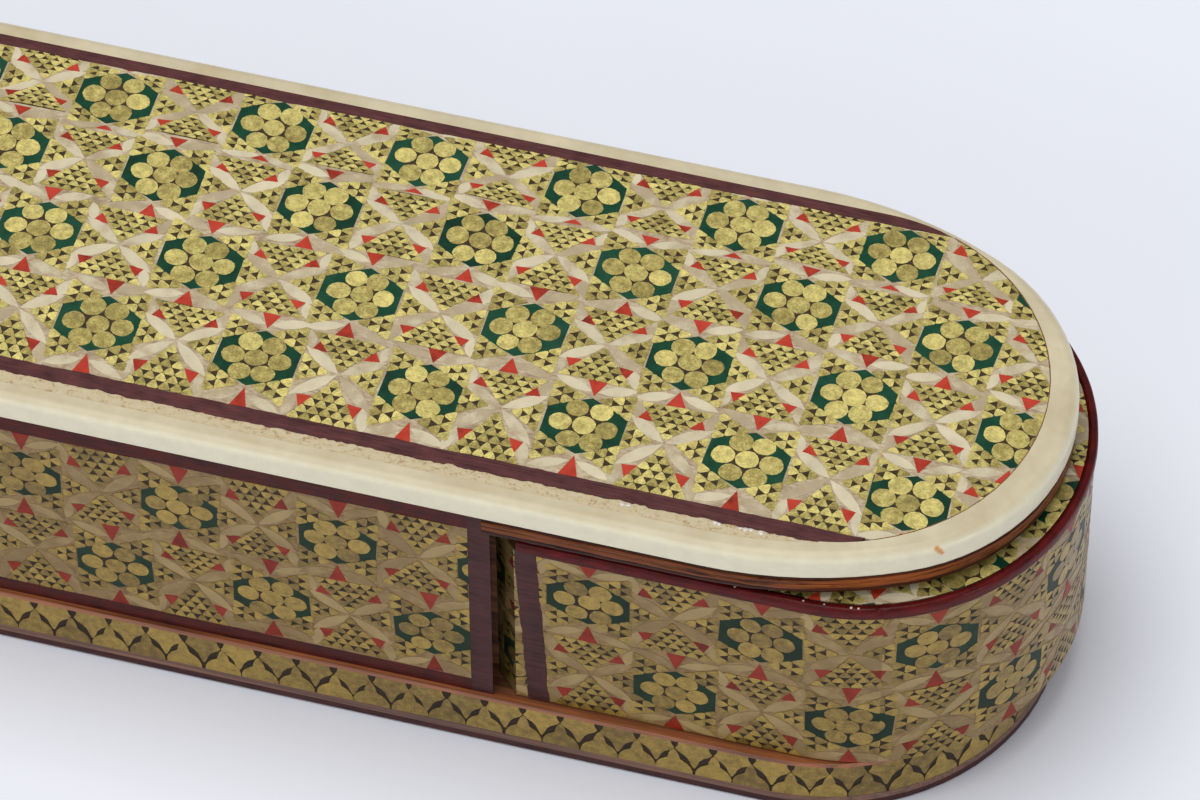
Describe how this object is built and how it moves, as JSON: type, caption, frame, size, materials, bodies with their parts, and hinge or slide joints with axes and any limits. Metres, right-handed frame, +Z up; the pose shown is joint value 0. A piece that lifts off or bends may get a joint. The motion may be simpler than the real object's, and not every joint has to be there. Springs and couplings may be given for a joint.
{
  "type": "pen box",
  "caption": "Long inlaid pen box with rounded ends: a sleeve with lid and base, and a drawer with a rounded head that pulls out of one end.",
  "frame": {"origin": "middle of the sleeve's underside, on the surface that the box stands on", "axes": "+X along the box, the way the drawer pulls out; +Z up; -Y is the front, with the speckled strip on the lid"},
  "size_m": [0.2384, 0.0534, 0.0435],
  "materials": {
    "inlay": "lacquered inlay of brass, bone and dyed wood",
    "dark_line": "lacquered, dark maroon",
    "bare_wood": "oiled orange-brown wood",
    "bone": "polished cream bone",
    "filler": "lacquered speckled strip",
    "rose_wood": "lacquered, pinkish brown",
    "bead": "gloss lacquer, deep red"
  },
  "bodies": {
    "sleeve": {"back_bottom_line": "dark_line", "back_inlay": "inlay", "back_mouth_line": "dark_line", "back_top_line": "dark_line", "back_wall": "bare_wood", "base_board": "bare_wood", "base_bottom_line": "dark_line", "base_gold_band": "inlay", "base_lower_strip": "rose_wood", "base_top_strip": "bare_wood", "bone_edging": "bone", "closed_end_block": "bare_wood", "closed_end_bottom_line": "dark_line", "closed_end_inlay": "inlay", "closed_end_top_line": "dark_line", "front_bottom_line": "dark_line", "front_inlay": "inlay", "front_mouth_line": "dark_line", "front_top_line": "dark_line", "front_wall": "bare_wood", "lid_back_line": "dark_line", "lid_board": "bare_wood", "lid_front_filler": "filler", "lid_front_line": "dark_line", "lid_inlay_closed_end": "inlay", "lid_inlay_middle": "inlay", "lid_inlay_mouth_end": "inlay"},
    "drawer": {"head_back_cheek": "bare_wood", "head_back_inlay": "inlay", "head_back_line": "dark_line", "head_back_mitre_inlay": "inlay", "head_bead": "bead", "head_end_inlay": "inlay", "head_floor": "bare_wood", "head_front_cheek": "bare_wood", "head_front_inlay": "inlay", "head_front_line": "dark_line", "head_front_mitre_inlay": "inlay", "head_inner_wall": "bare_wood", "head_round_end": "bare_wood", "head_top_inlay": "inlay", "tray_back_side": "bare_wood", "tray_end_board": "bare_wood", "tray_floor": "bare_wood", "tray_front_side": "bare_wood"}
  },
  "joints": [
    {"name": "drawer_slide", "type": "slide", "parent": "sleeve", "child": "drawer", "axis": [1, 0, 0], "range_m": [-0.0027, 0.145]}
  ]
}
